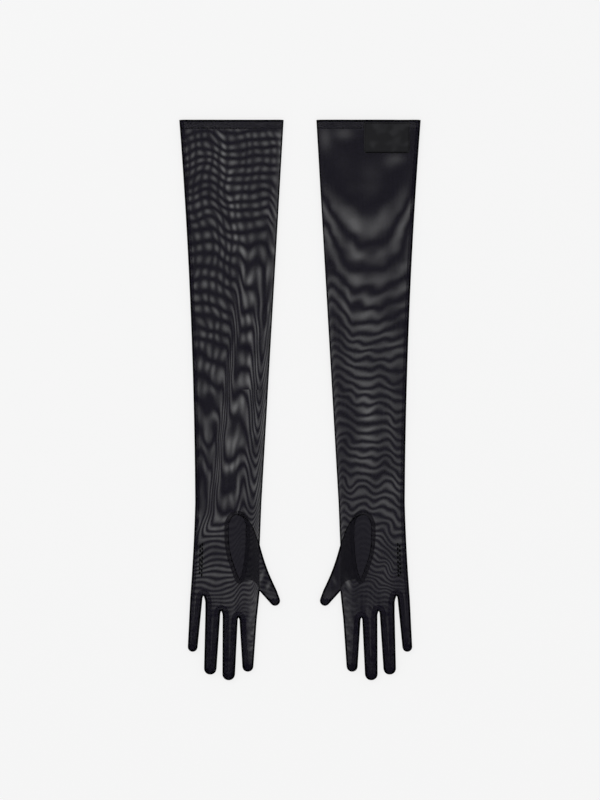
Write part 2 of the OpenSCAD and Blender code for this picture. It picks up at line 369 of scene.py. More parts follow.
def left_fringes(points):
    """Rows of spots above, long wavy streaks down the forearm and bands across the palm."""
    from_fold, from_seam = across_sleeve(points)
    down = -points[:, 1]
    # The distance between rows changes down the glove, and beside the fold in another way.
    places = [-300, -195, -150, -60, -10, 105, 140, 175, 215, 300]
    middle = drift(down, places, [8.8, 9.2, 12.8, 13.2, 30, 34, 7.4, 6.0, 4.7, 4.7])
    beside_fold = drift(down, places, [8.8, 9.2, 11.5, 12.0, 13, 13, 7.4, 6.0, 4.7, 4.7])
    level = np.interp(30, down[np.argsort(down)], (beside_fold - middle)[np.argsort(down)])
    rows = middle + (beside_fold - middle - level * ramp(down, -150, 30)) * (1 - ramp(from_fold, 6, 30))
    # Near the cuff, the rows step up and down as they cross the sleeve.
    steps = 1.35 * ramp(from_seam, 26, 48) - 0.35 * ramp(from_seam, 56, 86)
    steps -= 0.7 * ramp(from_seam, 2, 22) * (1 - ramp(down, -200, -140))
    steps += 1.6 * np.clip(10 - from_fold, 0, 10) / 10 * ramp(down, -245, -205)
    # Down the forearm, they turn into long streaks, which fan out towards the palm.
    growing = ramp(down, -190, -30)
    streak_line = 50 - 0.156 * (down + 105) - 18 * ramp(down, 115, 165)
    fan = 1 + 0.7 * ramp(down, 90, 150)
    streaks = 4.2 * ramp((from_seam - streak_line) / fan, -6, 7) + 3.4 * ramp(from_fold, 21, 8)
    streaks += 0.6 * ramp(from_seam, 5, 40) - 2.8 * ramp(8 - from_fold, 0, 8)
    palm = -2.2 * ramp(from_seam, 0, 70) + 0.5 * waves(points, 31, 30, 60)
    rows = rows - steps * (1 - growing) - growing * streaks - palm * ramp(down, 110, 150)
    # The cloth lies uneven.
    rows += 0.10 * waves(points, 21, 30, 90) + 0.08 * waves(points, 27, 16, 30)
    stagger = 0.26 * waves(points * [1, 0.22], 29, 13, 30)
    rows += stagger * ramp(down, -50, 10) * (1 - ramp(down, 115, 150))
    # Columns break the rows into spots. They weaken down the forearm and end at the palm.
    columns = drift(from_seam, [0, 40, 60, 120], [8.6, 8.2, 8.6, 9.2])
    columns += 0.35 * waves(points, 22, 40, 120)
    columns += 0.12 * waves(points, 28, 18, 34) + 0.010 * (down + 40) * ramp(down, -60, 60)
    column_depth = (0.78 - 0.14 * ramp(from_seam, 45, 60)) * (1 - 0.45 * ramp(down, -60, 10))
    column_depth *= 1 - 0.75 * ramp(down, 110, 145)
    row_depth = 0.078 + 0.018 * waves(points, 23, 25, 70)
    # One column of spots is brighter, and wanders across the sleeve.
    bright = 44 + 0.1 * (down + 270) * (1 - ramp(down, -190, -170))
    bright += 17 * ramp(down, -190, -150) - 22 * ramp(down, -40, 40)
    row_depth += (0.09 - 0.06 * ramp(down, 60, 110)) * spread(from_seam - bright, 6)
    row_depth -= 0.03 * ramp(30 - from_seam, 0, 30) * ramp(down, -60, 20) * (1 - ramp(down, 110, 150))
    veil = 0.0078 + 0.0012 * waves(points, 25, 12, 40) + 0.03 * spread(from_fold - 2, 2.5)
    return rows, columns, row_depth, column_depth, veil


# Where the threads of the right-hand sleeve's upper part lie in step: x, y, reach along both, amount.
RIGHT_PATCHES = [
    (26.5, 276, 6, 11, 0.040),
    (46, 281, 9, 6, 0.044),
    (101, 254, 9, 5, 0.036),
    (94, 249, 7, 5, 0.016),
    (76, 238, 9, 12, 0.009),
]


def right_fringes(points):
    """Nearly in step above, then wide bowls, then closer and closer wavy bands down to the palm."""
    from_fold, from_seam = across_sleeve(points)
    down = -points[:, 1]
    low = ramp(down, -65, 0)
    # The slope is how far a row hangs down at a point.
    slope = (1.3 - 0.7 * ramp(down, -95, 5)) * np.clip(from_fold, 0, 25)
    slope -= 0.42 * np.clip(from_fold - 54, 0, 60) * (1 - low)
    # Bowls above.
    bowl = 32 - 0.025 * (from_fold - 48) ** 2
    slope += (bowl - slope) * (1 - ramp(down, -180, -130))
    # A shoulder on the little finger's side of the forearm, and a steep drop across the palm.
    shoulder = 7.5 * ramp(from_fold, 56, 66) - 3.0 * spread(from_fold - 51, 6)
    slope += shoulder * low * (1 - ramp(down, 100, 150))
    slope += 13 * ramp(down, 100, 150) * (1 - ramp(down, 185, 215)) * ramp(from_fold, 44, 58)
    # Turned down sharply beside the fold, and zigzags above the thumb.
    slope += 20 * np.exp(-from_fold / 2.6) * ramp(down, -200, -140)
    slope += ramp(down, 40, 100) * (6 * spread(from_fold - 13, 6) - 7 * spread(from_fold - 26, 8))
    slope += 1.2 * waves(points, 41, 30, 90) + 1.5 * waves(points, 47, 13, 28)
    places = [-400, -240, -190, -150, -80, 0, 100, 150, 300]
    rows = drift(down - slope, places, [70, 60, 27, 19, 11.6, 10, 8.4, 5.6, 5.6])
    columns = drift(from_fold, [0, 40, 120], [26, 30, 26]) + 0.3 * waves(points, 42, 50, 140)
    column_depth = 0.4 + 0.15 * waves(points, 44, 40, 90)
    row_depth = 0.060 + 0.016 * waves(points, 43, 25, 70)
    row_depth += 0.05 * spread(from_fold - 38, 10) * ramp(down, -200, -120)
    row_depth += 0.02 * (1 - ramp(down, -180, -150))
    row_depth *= ramp(down, -236, -196) * (1 - 0.35 * ramp(down, 130, 165))
    # Faint streaks along the sleeve, and the patches of light at the cuff.
    streaks = np.sin(2 * math.pi * from_fold / 4.6 + 2 * waves(points, 45, 40, 120))
    veil = 0.0086 + 0.0022 * streaks * waves(points, 46, 30, 80)
    veil += 0.014 * spread(from_fold - 2, 2.5) * ramp(down, -160, -60)
    for x, y, wide, high, amount in RIGHT_PATCHES:
        veil += amount * spread(points[:, 0] - x, wide) * spread(points[:, 1] - y, high)
    return rows, columns, row_depth, column_depth, veil


INDEX_LIGHT = {"left": 0.034, "right": 0.022}  # through the outer half of the index finger

# Lighter spots round the thumb's root: x, y, reach across and along the thumb, amount.
THUMB_LIGHTS = {
    "left": [(40.6, -186, 1.6, 6, 0.09), (33.7, -196, 1.6, 3.5, 0.08), (52, -191, 2.4, 5, 0.04)],
    "right": [(50.4, -192, 1.7, 6.5, 0.13), (36, -190, 1.5, 5, 0.03)],
}


def fringes(points, side):
    """What the cloth's material needs at each point: where the threads of the two layers are in step."""
    pattern = {"left": left_fringes, "right": right_fringes}[side]
    rows, columns, row_depth, column_depth, veil = pattern(points)
    x, down = points[:, 0], -points[:, 1]
    in_fingers = ramp(down, 195, 236)
    in_thumb = (1 - ramp(x, 38, 50)) * ramp(down, 148, 165)
    beside_index = (1 - ramp(x, 50, 57)) * ramp(down, 196, 214) * (1 - ramp(down, 262, 276))
    in_hem = ramp(points[:, 1], cuff_y - HEM_DEPTH - 0.8, cuff_y - HEM_DEPTH + 0.4)
    row_depth = np.clip(row_depth, 0.004, 0.16) * (1 - 0.85 * in_fingers) * (1 - 0.65 * in_thumb)
    row_depth *= (1 - 0.25 * ramp(down, 140, 175)) * (1 - 0.95 * in_hem)
    veil = veil * (1 - 0.5 * in_thumb)
    veil = veil + (0.034 - veil) * in_hem
    ripples = np.sin(points[:, 1] + 2.5 * waves(points, 53, 9, 22)) * ramp(down, 196, 240)
    light = INDEX_LIGHT[side] * beside_index * (1 + 0.4 * waves(points, 51, 6, 12) + 0.8 * ripples)
    light += in_fingers * (0.007 + 0.010 * waves(points, 52, 5, 14) + 0.008 * ramp(x, 96, 100))
    for spot_x, spot_y, wide, high, amount in THUMB_LIGHTS[side]:
        offset = points - [spot_x, spot_y]
        along = offset @ [-0.35, 0.94]
        aside = offset @ [0.94, 0.35]
        light += amount * spread(aside, wide) * spread(along, high)
    return {
        "rows": rows,
        "columns": columns,
        "row_depth": row_depth,
        "column_depth": np.clip(column_depth, 0, 1),
        "veil": np.clip(veil + light, 0.002, 0.1),
    }


# ------------ materials


def linear(level):
    """A grey level from 0 to 255 as Blender's linear value."""
    share = level / 255
    return share / 12.92 if share <= 0.04045 else ((share + 0.055) / 1.055) ** 2.4


def colour(red, green, blue):
    return (linear(red), linear(green), linear(blue), 1)


class Nodes:
    """Short names for the few kinds of node that the materials share."""

    def __init__(self, name, base, roughness, sheen=0.0, specular=0.3):
        self.material = bpy.data.materials.new(name)
        self.material.use_nodes = True
        self.tree = self.material.node_tree
        self.shader = self.tree.nodes["Principled BSDF"]
        self.shader.inputs["Base Color"].default_value = base
        self.shader.inputs["Roughness"].default_value = roughness
        self.shader.inputs["Specular IOR Level"].default_value = specular
        self.shader.inputs["Sheen Weight"].default_value = sheen
        self.shader.inputs["Sheen Roughness"].default_value = 0.45
        self.shader.inputs["Sheen Tint"].default_value = (0.8, 0.82, 0.9, 1)

    def add(self, kind, **settings):
        node = self.tree.nodes.new(kind)
        for name, value in settings.items():
            setattr(node, name, value)
        return node

    def feed(self, socket, value):
        if isinstance(value, bpy.types.NodeSocket):
            self.tree.links.new(value, socket)
        else:
            socket.default_value = value

    def maths(self, operation, first, second=0.0):
        node = self.add("ShaderNodeMath", operation=operation)
        self.feed(node.inputs[0], first)
        self.feed(node.inputs[1], second)
        return node.outputs[0]

    def stored(self, name):
        return self.add("ShaderNodeAttribute", attribute_name=name).outputs["Fac"]

    def in_step(self, name):
        """1 where a stored count of threads is whole, 0 where it is half way between."""
        cosine = self.maths("COSINE", self.maths("MULTIPLY", self.stored(name), 2 * math.pi))
        level = self.maths("MULTIPLY_ADD", cosine, 0.5)
        level.node.inputs[2].default_value = 0.5
        return level

    def place(self):
        """The cloth's own coordinates: 1 is 100 mm."""
        return self.add("ShaderNodeUVMap", uv_map="cloth").outputs["UV"]

    def threads(self, pitch_mm, direction):
        """Parallel threads, as a value from 0 to 1 across each of them."""
        wave = self.add("ShaderNodeTexWave", wave_type="BANDS", wave_profile="SIN")
        wave.bands_direction = direction
        self.feed(wave.inputs["Vector"], self.place())
        wave.inputs["Scale"].default_value = 100 / pitch_mm / (20 / (2 * math.pi))
        return wave.outputs["Fac"]

    def noise(self, scale, detail=2.0):
        noise = self.add("ShaderNodeTexNoise")
        self.feed(noise.inputs["Vector"], self.place())
        noise.inputs["Scale"].default_value = scale
        noise.inputs["Detail"].default_value = detail
        return noise.outputs["Fac"]

    def tint(self, share, low, high):
        """The base colour goes from low to high with share."""
        mix = self.add("ShaderNodeMix", data_type="RGBA")
        self.feed(mix.inputs["Factor"], share)
        mix.inputs["A"].default_value = low
        mix.inputs["B"].default_value = high
        self.feed(self.shader.inputs["Base Color"], mix.outputs["Result"])

    def bump(self, height, strength, distance_mm):
        bump = self.add("ShaderNodeBump")
        bump.inputs["Strength"].default_value = strength
        bump.inputs["Distance"].default_value = distance_mm * MM
        self.feed(bump.inputs["Height"], height)
        self.feed(self.shader.inputs["Normal"], bump.outputs["Normal"])

    def sheer(self, opening):
        """Light passes through the opening's share of the cloth."""
        self.feed(self.shader.inputs["Alpha"], self.maths("SUBTRACT", 1.0, opening))


CLOTH_DARK = colour(10, 8, 17)
CLOTH_LIGHT = colour(17, 14, 28)
THREAD_BLACK = colour(1, 1, 2)


THREAD_PITCH = 1.3


def woven(nodes):
    """Crossing threads that stand out of the cloth; the value is high where two of them cross."""
    weft = nodes.threads(THREAD_PITCH, "Y")
    warp = nodes.threads(THREAD_PITCH, "X")
    nodes.bump(nodes.maths("MAXIMUM", weft, warp), 0.35, 0.25)
    return nodes.maths("MULTIPLY", weft, warp)


def sheer_mesh():
    """Fine black mesh whose threads come in and out of step with those of the layer behind it."""
    nodes = Nodes("sheer_mesh", CLOTH_DARK, 0.72, sheen=0.008, specular=0.03)
    crossings = woven(nodes)
    rows = nodes.in_step("rows")
    between_columns = nodes.maths("SUBTRACT", 1.0, nodes.in_step("columns"))
    missing = nodes.maths("MULTIPLY", between_columns, nodes.stored("column_depth"))
    spots = nodes.maths("MULTIPLY", rows, nodes.maths("SUBTRACT", 1.0, missing))
    spots = nodes.maths("POWER", spots, 1.25)
    through_both = nodes.maths("MULTIPLY", spots, nodes.stored("row_depth"))
    through_both = nodes.maths("ADD", through_both, nodes.stored("veil"))
    cloudy = nodes.maths("MULTIPLY", nodes.maths("SUBTRACT", nodes.noise(9.0), 0.5), 0.02)
    grain = nodes.maths("MULTIPLY", nodes.maths("SUBTRACT", nodes.noise(62.0, 1.0), 0.5), 0.06)
    uneven = nodes.maths("ADD", cloudy, grain)
    nodes.sheer(nodes.maths("ADD", nodes.maths("SQRT", through_both), uneven))
    nodes.tint(crossings, CLOTH_DARK, CLOTH_LIGHT)
    return nodes.material


def plain_mesh(name, opening, low=CLOTH_DARK, high=CLOTH_LIGHT):
    """The same mesh where one more layer closes most of its openings."""
    nodes = Nodes(name, low, 0.75, sheen=0.008, specular=0.03)
    crossings = woven(nodes)
    varied = nodes.maths("MULTIPLY", nodes.noise(14.0), opening * 0.5)
    nodes.sheer(nodes.maths("ADD", varied, opening * 0.75))
    nodes.tint(crossings, low, high)
    return nodes.material


def twisted_thread(name, low, high):
    """Sewing thread: short slanting plies, with painted shade making it darker between them."""
    nodes = Nodes(name, low, 0.7, sheen=0.004, specular=0.01)
    plies_and_painted_shade = nodes.threads(1.4, "DIAGONAL")
    nodes.bump(plies_and_painted_shade, 0.4, 0.15)
    # The darker colour between the plies is painted shade in the grooves.
    nodes.tint(plies_and_painted_shade, low, high)
    return nodes.material


def label_satin():
    """Charcoal satin ribbon with fine ribs, and soft lighter patches of painted sheen where it lies
    uneven.
    """
    nodes = Nodes("label_satin", colour(24, 24, 25), 0.45, sheen=0.01, specular=0.08)
    ribs = nodes.threads(1.1, "X")
    nodes.bump(ribs, 0.3, 0.12)
    # The lighter patches are painted sheen on the satin, not a colour of the ribbon.
    painted_sheen = nodes.add("ShaderNodeMapRange", interpolation_type="SMOOTHSTEP")
    nodes.feed(painted_sheen.inputs["Value"], nodes.noise(7.5, 1.0))
    painted_sheen.inputs["From Min"].default_value = 0.45
    painted_sheen.inputs["From Max"].default_value = 0.72
    nodes.tint(painted_sheen.outputs["Result"], colour(22, 22, 24), colour(34, 34, 36))
    return nodes.material


MESH = sheer_mesh()
HEM = plain_mesh("hem_mesh", 0.7, colour(9, 8, 11), colour(15, 14, 17))
ALLOWANCE = plain_mesh("seam_mesh", 0.62)
STRIP = plain_mesh("strip_mesh", 0.52)
GUSSET = plain_mesh("gusset_mesh", 0.035, colour(21, 20, 26), colour(30, 28, 36))
BASE = plain_mesh("thumb_base_mesh", 0.13, colour(15, 14, 19), colour(23, 22, 28))
BAND = plain_mesh("doubled_mesh", 0.14, colour(15, 14, 19), colour(23, 21, 27))
GATHER = plain_mesh("gathered_mesh", 0.12, colour(8, 8, 9), colour(14, 14, 16))
SEAM_THREAD = twisted_thread("seam_thread", THREAD_BLACK, colour(5, 5, 6))
FOLD_THREAD = twisted_thread("fold_thread", colour(2, 2, 3), colour(12, 12, 14))
STITCH = twisted_thread("stitch_thread", colour(1, 1, 2), colour(8, 8, 9))
SATIN = label_satin()

# ------------ pieces


def add_piece(name, side, points, faces, material, place=None, values=None, smooth=True):
    """A mesh from points of the right-hand glove in millimetres, mirrored for the left-hand one."""
    turn = SIDES[side]
    points = np.asarray(points, float)
    mesh = bpy.data.meshes.new(name)
    order = [tuple(f) if turn > 0 else tuple(f)[::-1] for f in faces]
    mesh.from_pydata((points * [turn * MM, MM, MM]).tolist(), [], order)
    mesh.update()
    corners = np.zeros(len(mesh.loops), int)
    mesh.loops.foreach_get("vertex_index", corners)
    place = points[:, :2] if place is None else np.asarray(place, float)
    layer = mesh.uv_layers.new(name="cloth")
    layer.data.foreach_set("uv", (place[corners] / 100).astype(np.float32).ravel())
    for key, numbers in (values or {}).items():
        attribute = mesh.attributes.new(key, "FLOAT", "POINT")
        attribute.data.foreach_set("value", np.asarray(numbers, np.float32))
    mesh.polygons.foreach_set("use_smooth", [smooth] * len(mesh.polygons))
    mesh.materials.append(material)
    obj = bpy.data.objects.new(name, mesh)
    bpy.context.scene.collection.objects.link(obj)
    return obj


def add_shape(name, side, shape, material):
    """A piece from a shape: its points, faces and places on the surface."""
    points, faces, place = shape
    return add_piece(name, side, points, faces, material, place)


def attach(piece, zone):
    """The piece's placement is baked into its mesh."""
    if zone == "sleeve":
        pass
    elif zone == "hand":
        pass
    elif zone == "thumb":
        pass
    else:
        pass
    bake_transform(piece)
    return piece


def inside(points, ring):
    """Which points lie inside a closed outline."""
    x, y = points[:, :1], points[:, 1:]
    a, b = ring, np.roll(ring, -1, axis=0)
    crosses = (a[:, 1] > y) != (b[:, 1] > y)
    rise = np.where(b[:, 1] == a[:, 1], 1e-9, b[:, 1] - a[:, 1])
    at = a[:, 0] + (y - a[:, 1]) / rise * (b[:, 0] - a[:, 0])
    return ((crosses & (x < at)).sum(1) % 2) == 1


def near_line(points, ring, gap):
    """Which points lie closer than gap to a closed line of closely spaced points."""
    near = np.zeros(len(points), bool)
    for group in np.array_split(np.arange(len(points)), max(1, len(points) // 2000)):
        offsets = points[group][:, None, :] - ring
        near[group] = (np.hypot(offsets[:, :, 0], offsets[:, :, 1]) < gap).any(1)
    return near


def triangulated(ring, hole=None, spacing=SPACING, rings=EDGE_RINGS):
    """Points and triangles that fill a closed outline, finer along the glove's own edge."""
    low, high = ring.min(0), ring.max(0)
    rows = np.arange(low[1], high[1], spacing * 0.866)
    columns = np.arange(low[0], high[0], spacing)
    grid = np.array([(x + (row % 2) * spacing / 2, y) for row, y in enumerate(rows) for x in columns])
    grid = grid[inside(grid, ring)]
    distance, _ = from_edge(grid)
    grid = grid[distance > (rings[-1] + 0.8 if rings else 0.8)]
    grid = grid[~near_line(grid, ring, 1.1)]
    parts = [grid]
    for offset in rings:
        row = edge_points + edge_inwards * offset
        row = row[inside(row, ring)]
        distance, _ = from_edge(row)
        row = row[np.abs(distance - offset) < 0.06 * offset + 0.02]
        row = row[~near_line(row, ring, offset * 0.9)]
        parts.append(row)
    extra = np.vstack(parts)
    outline = [ring]
    if hole is not None:
        extra = extra[~inside(extra, hole)]
        extra = extra[~near_line(extra, hole, 1.0)]
        outline.append(hole)
    points = np.vstack(outline + [extra])
    edges = [(i, (i + 1) % len(ring)) for i in range(len(ring))]
    if hole is not None:
        edges += [(len(ring) + i, len(ring) + (i + 1) % len(hole)) for i in range(len(hole))]
    made = delaunay_2d_cdt([Vector(p) for p in points], edges, [], 0, 1e-5)
    points = np.array([tuple(p) for p in made[0]])
    faces = np.array([f for f in made[2]])
    middles = points[faces].mean(1)
    keep = inside(middles, ring)
    if hole is not None:
        keep &= ~inside(middles, hole)
    faces = faces[keep]
    a, b, c = (points[faces[:, i]] for i in range(3))
    area = (b[:, 0] - a[:, 0]) * (c[:, 1] - a[:, 1]) - (b[:, 1] - a[:, 1]) * (c[:, 0] - a[:, 0])
    faces[area < 0] = faces[area < 0][:, ::-1]
    faces = faces[np.abs(area) > 1e-4]
    used = np.unique(faces)
    number = np.zeros(len(points), int)
    number[used] = np.arange(len(used))
    return points[used], number[faces]


def closed_ring(*parts):
    """Chains and straight cuts joined into one closed line."""
    return np.vstack([part[:-1] for part in parts])


def chain_line(name):
    return edge_points[stretch[name]]


cut_cuff = dense([cuff_seam, cuff_fold])
cut_middle = dense([middle_fold, middle_seam])
cut_thumb = dense([thumb_top, thumb_bottom])
cut_root = {name: dense([root_low[name], root_high[name]]) for name in FINGERS}

# The oval that is seen lies inside the CAD one by these much, and the doubled cloth lies outside it.
EGG_INSET, EGG_TOP, EGG_BOTTOM = 1.45, 4.0, 2.5


def egg_outline():
    """The thumb piece's oval set into the palm: blunt above and pointed below, anticlockwise."""
    cad_ring = top_outline("right_thumb_gusset")
    low, high = cad_ring.min(0), cad_ring.max(0)
    top, bottom = high[1] - EGG_TOP, low[1] + EGG_BOTTOM
    half_width = (high[0] - low[0]) / 2 - EGG_INSET
    share = (1 - np.cos(np.linspace(0, math.pi, 45))) / 2
    blunt = np.clip(share / 0.2, 0, 1)
    half = half_width * np.sqrt(blunt * (2 - blunt)) * (1 - np.clip((share - 0.3) / 0.7, 0, 1) ** 2.1)
    centre = (low[0] + high[0]) / 2 - 2.4 * ramp(share, 0.4, 1)
    y = top + (bottom - top) * share
    left = np.column_stack([centre - half, y])
    right = np.column_stack([centre + half, y])[::-1]
    return dense(np.vstack([left, right[1:]]), 2.0)[:-1]


gusset_ring = egg_outline()

region_ring = {}
sleeve_sides = chain_line("sleeve_fold"), chain_line("sleeve_seam")
region_ring["sleeve"] = closed_ring(cut_cuff, sleeve_sides[0], cut_middle, sleeve_sides[1])
hand_parts = [cut_middle[::-1], chain_line("hand_fold"), cut_thumb, chain_line("web")]
for number, name in enumerate(FINGERS):
    hand_parts.append(cut_root[name])
    hand_parts.append(chain_line(f"crotch_{number + 1}" if name != "little" else "hand_seam"))
region_ring["hand"] = closed_ring(*hand_parts)
region_ring["thumb"] = closed_ring(cut_thumb[::-1], chain_line("thumb"))
for name in FINGERS:
    finger_sides = chain_line(f"{name}_low"), chain_line(f"{name}_high")
    region_ring[name] = closed_ring(cut_root[name][::-1], *finger_sides)

region_mesh = {name: triangulated(ring) for name, ring in region_ring.items()}
palm_mesh = dict(region_mesh, hand=triangulated(region_ring["hand"], hole=gusset_ring))

# ------------ shapes of the sewn details


def ring_area(ring):
    x, y = ring.T
    return abs(np.dot(x, np.roll(y, -1)) - np.dot(y, np.roll(x, -1))) / 2


def declare_sheet(ring):
    """Works out the area of cloth cut to this outline, which nothing then uses."""
    width, length = ring.max(0) - ring.min(0)
    area = min(ring_area(ring), 0.999 * width * length)
    area *= MM * MM


def tube(path, across, radii, sides=6):
    """Points, faces and surface places of a cord along path; across points sideways from it."""
    path = np.asarray(path, float)
    radii = np.broadcast_to(radii, len(path))
    along = np.concatenate([[0], np.cumsum(np.linalg.norm(np.diff(path, axis=0), axis=1))])
    points = []
    place = []
    for k in range(sides):
        angle = 2 * math.pi * k / sides
        sideways = np.column_stack([across * math.cos(angle), np.full(len(path), math.sin(angle))])
        points.append(path + radii[:, None] * sideways)
        place.append(np.column_stack([along, angle * radii]))
    points = np.stack(points, axis=1).reshape(-1, 3)
    place = np.stack(place, axis=1).reshape(-1, 2)
    faces = []
    for i in range(len(path) - 1):
        for k in range(sides):
            a, b = i * sides + k, i * sides + (k + 1) % sides
            faces.append((a, a + sides, b + sides, b))
    faces.append(tuple(range(sides)))
    faces.append(tuple(range(len(points) - 1, len(points) - sides - 1, -1)))
    return points, faces, place


def joined(shapes):
    """Several (points, faces, places) as one."""
    points = np.vstack([shape[0] for shape in shapes])
    place = np.vstack([shape[2] for shape in shapes])
    faces = []
    offset = 0
    for shape in shapes:
        faces += [tuple(int(i) + offset for i in face) for face in shape[1]]
        offset += len(shape[0])
    return points, faces, place


def ribbon(rows):
    """Points and faces of a strip from rows of points: rows[i][j] is point j of row i."""
    rows = np.asarray(rows, float)
    count, width = rows.shape[:2]
    faces = []
    for i in range(count - 1):
        for j in range(width - 1):
            a = i * width + j
            faces.append((a, a + 1, a + width + 1, a + width))
    return rows.reshape(-1, 3), faces


def sideways(line):
    """Unit vectors across a flat line."""
    step = np.gradient(line, axis=0)
    step = step / np.hypot(*step.T)[:, None]
    return np.stack([-step[:, 1], step[:, 0]], axis=1)


def laid_cord(line, height, radius):
    """A cord along a flat line; height gives its middle's level at a set of points."""
    return tube(np.column_stack([line, height(line)]), sideways(line), radius)


def dashes(line, height, pitch, length, radius, first=0.0):
    """A row of stitches along a line; height gives the surface below a set of points."""
    along = np.concatenate([[0], np.cumsum(np.hypot(*np.diff(line, axis=0).T))])
    across = sideways(line)
    shapes = []
    for start in np.arange(first, along[-1] - length, pitch):
        at = start + np.linspace(0, length, 6)
        points = np.column_stack([np.interp(at, along, line[:, i]) for i in (0, 1)])
        normal = np.column_stack([np.interp(at, along, across[:, i]) for i in (0, 1)])
        rise = np.sin(np.linspace(0, math.pi, 6))
        path = np.column_stack([points, height(points) + radius * (rise - 0.2)])
        shapes.append(tube(path, normal, radius * (0.35 + 0.65 * rise ** 0.5)))
    return joined(shapes)


def curve_between(start, first_pull, last_pull, end, count=24):
    """A smooth curve from start to end, drawn towards the two pulls."""
    t = np.linspace(0, 1, count)[:, None]
    parts = [(1 - t) ** 3, 3 * t * (1 - t) ** 2, 3 * t ** 2 * (1 - t), t ** 3]
    return sum(part * np.array(point) for part, point in zip(parts, (start, first_pull, last_pull, end)))


SEED = {"left": 3, "right": 17}
ZONES = ["sleeve", "hand", "thumb"] + FINGERS


def zone_of(chain):
    for zone in ZONES:
        if chain.startswith(zone):
            return zone
    return "hand"


# ------------ the cloth


def make_cloth(side):
    """The palm layer and the back layer of every zone."""
    made = {}
    for zone in ZONES:
        for layer, (points, faces) in (("back", region_mesh[zone]), ("palm", palm_mesh[zone])):
            palm, back = levels(points, SEED[side])
            surface = np.column_stack([points, palm if layer == "palm" else back])
            order = faces if layer == "palm" else faces[:, ::-1]
            name = f"{side}_{zone}_{layer}_cloth"
            made[name] = add_piece(name, side, surface, order, MESH, values=fringes(points, side))
    return made


CORD_INSET = 0.8  # the cord lies this share of its radius inside the outline


def make_edge_cord(side, chain, radius, material):
    """The stitched edge along a chain: one cord on the palm layer and one on the back layer."""
    index = stretch[chain]
    line, across = edge_points[index], edge_inwards[index]
    line = line + CORD_INSET * radius * across
    upper, lower = levels(line, SEED[side])
    shapes = [tube(np.column_stack([line, level]), across, radius) for level in (upper, lower)]
    return add_shape(f"{side}_{chain}_edge", side, joined(shapes), material)


ALLOWANCE_WIDTH = 4.6


def make_allowance(side, chain):
    """The seam's two cut edges, turned to one side between the layers."""
    index = stretch[chain]
    line, across = edge_points[index], edge_inwards[index]
    narrowing = np.clip(tip_distance[index] / TIP_REACH, 0.1, 1)
    rows = []
    for share, level in [(0.06, 0.5), (0.35, 0.62), (0.7, 0.6), (0.97, 0.62), (0.7, 0.5), (0.35, 0.4)]:
        place = line + across * (ALLOWANCE_WIDTH * share * narrowing)[:, None]
        palm, back = levels(place, SEED[side])
        rows.append(np.column_stack([place, back + (palm - back) * level]))
    points, faces = ribbon(np.stack(rows, axis=1))
    return add_piece(f"{side}_{chain}_allowance", side, points, faces, ALLOWANCE)


STRIP_DEPTH = 6.4


def make_strip(side, chain):
    """A finger strip: it joins palm and back, and lies folded inwards between them."""
    index = stretch[chain]
    line, across = edge_points[index], edge_inwards[index]
    narrowing = np.clip(tip_distance[index] / TIP_REACH, 0.08, 1) ** 0.8
    upper, lower = edge_levels(edge_open[index])
    middle = (upper + lower) / 2
    half = [(0, 0.92), (0.3, 0.8), (0.65, 0.5), (0.95, 0.16)]
    rows = []
    for share, level in half + [(1, 0)] + [(share, -level) for share, level in half[::-1]]:
        place = line + across * (STRIP_DEPTH * share * narrowing)[:, None]
        rows.append(np.column_stack([place, middle + level * (upper - lower) / 2]))
    points, faces = ribbon(np.stack(rows, axis=1))
    piece = add_piece(f"{side}_{chain}_strip", side, points, faces, STRIP)
    length = edge_along[index][-1] - edge_along[index][0]
    return piece, length


GATHER_LENGTH = 7.0


def make_tip_gather(side, zone):
    """The strips and seams bunched together inside a fingertip."""
    ring = region_ring[zone]
    low = ring[:, 1].min()
    tip = ring[ring[:, 1] < low + GATHER_LENGTH]
    order = np.argsort(np.arctan2(tip[:, 1] - low - GATHER_LENGTH, tip[:, 0] - tip[:, 0].mean()))
    tip = tip[order]
    top = dense([tip[-1], tip[0]], 1.2)[1:-1]
    top[:, 1] += 0.9 * np.sin(np.arange(len(top)) * 1.9) + 0.6
    outline = np.vstack([tip, top])
    points, faces = triangulated(outline, spacing=1.5, rings=[1.0])
    palm, back = levels(points, SEED[side])
    heights = back + (palm - back) * 0.55
    return add_piece(f"{side}_{zone}_tip_gather", side, np.column_stack([points, heights]), faces, GATHER)


# ------------ thumb, hem and label

GUSSET_ALLOWANCE = 4.2  # width of the doubled cloth round the oval
BASE_LIFT = 0.5  # of the thumb piece's root above the palm
gusset_top = gusset_ring[gusset_ring[:, 1].argmax()]
gusset_bottom = gusset_ring[gusset_ring[:, 1].argmin()]
gusset_thumb_side = between(gusset_ring, gusset_top, gusset_bottom)
base_arc = curve_between(gusset_top, gusset_top + [-15, -2], thumb_top + [6, 15], thumb_top)
base_hem = curve_between(thumb_bottom, thumb_bottom + [2, 11], gusset_bottom + [-11, 3], gusset_bottom)
base_ring = closed_ring(dense(base_arc, 2.2), cut_thumb, dense(base_hem, 2.2), gusset_thumb_side[::-1])


def above_layer(side, layer, lift):
    """A function that gives the height at points of layer 0, the palm, or 1, the back, plus lift."""
    return lambda points: levels(points, SEED[side])[layer] + lift


def above_palm(side, lift):
    return above_layer(side, 0, lift)


def make_thumb_base(side):
    """The thumb piece's root, which laps over the palm between the gusset and the thumb."""
    points, faces = triangulated(base_ring)
    lift = above_palm(side, BASE_LIFT)
    cloth = add_piece(f"{side}_thumb_base", side, np.column_stack([points, lift(points)]), faces, BASE)
    shape = laid_cord(dense(base_arc, EDGE_SPACING), above_palm(side, BASE_LIFT + 0.1), 0.38)
    seam = add_shape(f"{side}_thumb_base_seam", side, shape, SEAM_THREAD)
    return cloth, seam


